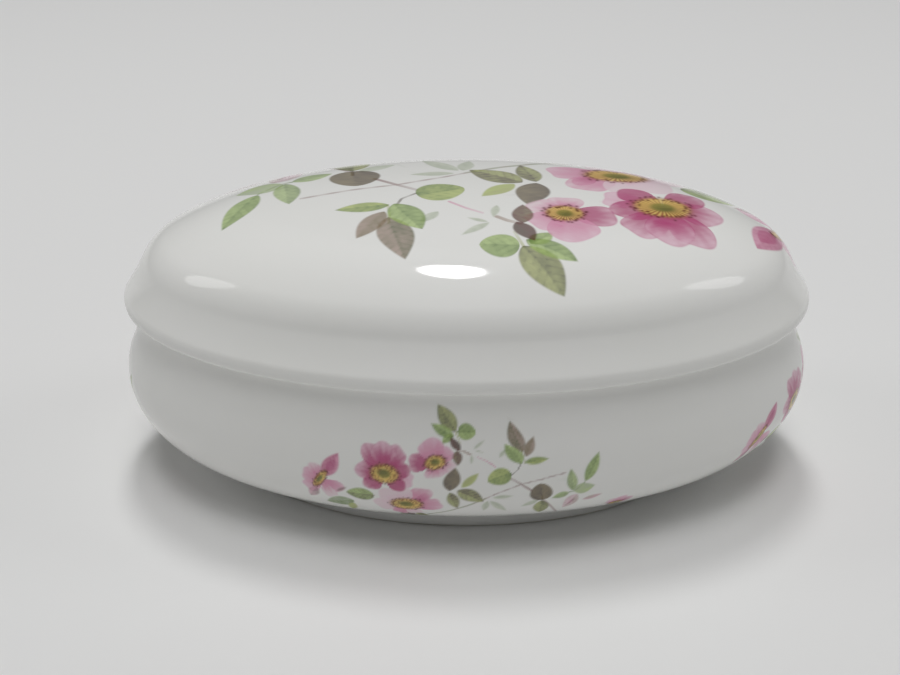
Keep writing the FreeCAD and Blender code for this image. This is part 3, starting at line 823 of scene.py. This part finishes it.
def porcelain(name, bare_below=None):
    """Make glazed porcelain: the painting under a clear glaze, with faint clouds, specks and waves.

    Below the height bare_below the clay is left unglazed.
    """
    material = bpy.data.materials.new(name)
    material.use_nodes = True
    nodes = material.node_tree.nodes
    links = material.node_tree.links
    shader = nodes["Principled BSDF"]
    shader.inputs["IOR"].default_value = GLAZE_IOR
    painting = nodes.new("ShaderNodeAttribute")
    painting.attribute_name = "painting"
    place = nodes.new("ShaderNodeTexCoord")

    def noise(scale, detail):
        node = nodes.new("ShaderNodeTexNoise")
        node.inputs["Scale"].default_value = scale
        node.inputs["Detail"].default_value = detail
        links.new(place.outputs["Object"], node.inputs["Vector"])
        return node.outputs["Fac"]

    def remap(value, low, high, to_low, to_high):
        node = nodes.new("ShaderNodeMapRange")
        node.inputs["From Min"].default_value = low
        node.inputs["From Max"].default_value = high
        node.inputs["To Min"].default_value = to_low
        node.inputs["To Max"].default_value = to_high
        links.new(value, node.inputs["Value"])
        return node.outputs["Result"]

    def mix(kind, factor, first, second):
        node = nodes.new("ShaderNodeMix")
        node.data_type = "RGBA"
        node.blend_type = kind
        node.inputs["B"].default_value = second
        links.new(factor, node.inputs["Factor"])
        links.new(first, node.inputs["A"])
        return node.outputs["Result"]

    def combine(operation, first, second):
        node = nodes.new("ShaderNodeMath")
        node.operation = operation
        links.new(first, node.inputs[0])
        links.new(second, node.inputs[1])
        return node.outputs["Value"]

    cloud = remap(noise(scale=45, detail=3), 0.35, 0.65, 0.0, 0.35)
    body = mix("MULTIPLY", cloud, painting.outputs["Color"], CLOUD)
    cells = nodes.new("ShaderNodeTexVoronoi")
    cells.inputs["Scale"].default_value = 95
    links.new(place.outputs["Object"], cells.inputs["Vector"])
    dot = remap(cells.outputs["Distance"], 0.012, 0.03, 1.0, 0.0)
    cell_number = nodes.new("ShaderNodeSeparateColor")
    links.new(cells.outputs["Color"], cell_number.inputs["Color"])
    one_in_ten = remap(cell_number.outputs["Red"], 0.9, 0.91, 0.0, 0.75)
    colour = mix("MIX", combine("MULTIPLY", dot, one_in_ten), body, SPECK)
    roughness = remap(noise(scale=60, detail=2), 0.3, 0.7, 0.05, 0.09)
    if bare_below is not None:
        height = nodes.new("ShaderNodeSeparateXYZ")
        links.new(place.outputs["Object"], height.inputs["Vector"])
        bare = remap(height.outputs["Z"], bare_below * 0.6, bare_below, 1.0, 0.0)
        colour = mix("MIX", bare, colour, BARE_CLAY)
        roughness = combine("MAXIMUM", roughness, remap(bare, 0.0, 1.0, 0.0, BARE_ROUGHNESS))
    links.new(colour, shader.inputs["Base Color"])
    links.new(roughness, shader.inputs["Roughness"])
    waves = nodes.new("ShaderNodeBump")
    waves.inputs["Strength"].default_value = WAVE_STRENGTH
    waves.inputs["Distance"].default_value = WAVE_HEIGHT
    links.new(noise(scale=28, detail=1), waves.inputs["Height"])
    links.new(waves.outputs["Normal"], shader.inputs["Normal"])
    return material


PAPER = (0.85, 0.85, 0.845, 1)
# How far the floor reaches from the jar, in metres.
FLOOR_REACH = 20.0


def add_floor():
    """Add the plain pale floor."""
    mesh = bpy.data.meshes.new("floor")
    corners = [(FLOOR_REACH * x, FLOOR_REACH * y, 0) for x, y in ((-1, -1), (1, -1), (1, 1), (-1, 1))]
    mesh.from_pydata(corners, [], [(0, 1, 2, 3)])
    floor = bpy.data.objects.new("floor", mesh)
    bpy.context.scene.collection.objects.link(floor)
    material = bpy.data.materials.new("paper")
    material.use_nodes = True
    shader = material.node_tree.nodes["Principled BSDF"]
    shader.inputs["Base Color"].default_value = PAPER
    shader.inputs["Roughness"].default_value = 0.9
    shader.inputs["Specular IOR Level"].default_value = 0.1
    mesh.materials.append(material)


def add_light(name, kind, direction, distance, power):
    """Add a light, aimed at the jar from a direction."""
    light = bpy.data.lights.new(name, kind)
    light.energy = power
    lamp = bpy.data.objects.new(name, light)
    aim = Vector((0, 0, LID_TOP * MM / 2))
    lamp.location = aim + Vector(direction).normalized() * distance
    lamp.rotation_euler = (lamp.location - aim).to_track_quat("Z", "Y").to_euler()
    bpy.context.scene.collection.objects.link(lamp)
    return lamp


def add_panel(name, direction, distance, size, power):
    """Add a soft oval panel, which the glaze mirrors."""
    panel = add_light(name, "AREA", direction, distance, power)
    panel.data.shape = "ELLIPSE"
    panel.data.size, panel.data.size_y = size


def add_sky(name, direction, spread, power):
    """Add even light over the whole floor, spread by an angle in degrees. The glaze doesn't mirror it."""
    sky = add_light(name, "SUN", direction, 1, power)
    sky.data.angle = math.radians(spread)
    sky.visible_glossy = False


def add_room(ambient, backdrop):
    """Add the dim room's own light, and the paler backdrop that only the camera sees."""
    world = bpy.data.worlds.new("room")
    world.use_nodes = True
    nodes = world.node_tree.nodes
    links = world.node_tree.links
    background = nodes["Background"]
    background.inputs["Color"].default_value = (1, 1, 1, 1)
    rays = nodes.new("ShaderNodeLightPath")
    strength = nodes.new("ShaderNodeMapRange")
    strength.inputs["To Min"].default_value = ambient
    strength.inputs["To Max"].default_value = backdrop
    links.new(rays.outputs["Is Camera Ray"], strength.inputs["Value"])
    links.new(strength.outputs["Result"], background.inputs["Strength"])
    bpy.context.scene.world = world


def add_lights():
    """Add the key light, softer light from above and in front, a soft box at each side and a dim room."""
    add_panel("key", (-0.023, 0.22, 0.97), 1.0, (0.15, 0.28), 2.7)
    add_panel("left_box", (-0.80, 0.04, 0.60), 1.2, (0.35, 0.5), 0.9)
    add_panel("right_box", (0.76, 0.04, 0.64), 1.2, (0.35, 0.5), 0.9)
    add_sky("ceiling", (0, -0.1, 1), 25, 0.62)
    add_sky("front", (0, -0.34, 0.94), 20, 0.44)
    add_room(ambient=0.09, backdrop=0.37)


# Where the camera stands, and how many degrees it looks down by.
CAMERA_PLACE = (-3.6, -258.9, 167.8)
CAMERA_TILT = 28.08
CAMERA_LENS = 52
FILM_WIDTH = 36


def add_camera():
    """Add the camera, in front of the jar and above it, looking down."""
    camera_data = bpy.data.cameras.new("camera")
    camera_data.lens = CAMERA_LENS
    camera_data.sensor_width = FILM_WIDTH
    camera_data.clip_start = 0.01
    camera = bpy.data.objects.new("camera", camera_data)
    camera.location = [distance * MM for distance in CAMERA_PLACE]
    camera.rotation_euler = (math.radians(90 - CAMERA_TILT), 0, 0)
    bpy.context.scene.collection.objects.link(camera)
    bpy.context.scene.camera = camera
    bpy.context.scene.view_settings.view_transform = "Standard"


add_camera()
add_floor()
add_lights()
add_piece(make_bowl(), "bowl", porcelain("bowl_porcelain", bare_below=BARE_HEIGHT))
add_piece(make_lid(), "lid", porcelain("lid_porcelain"))
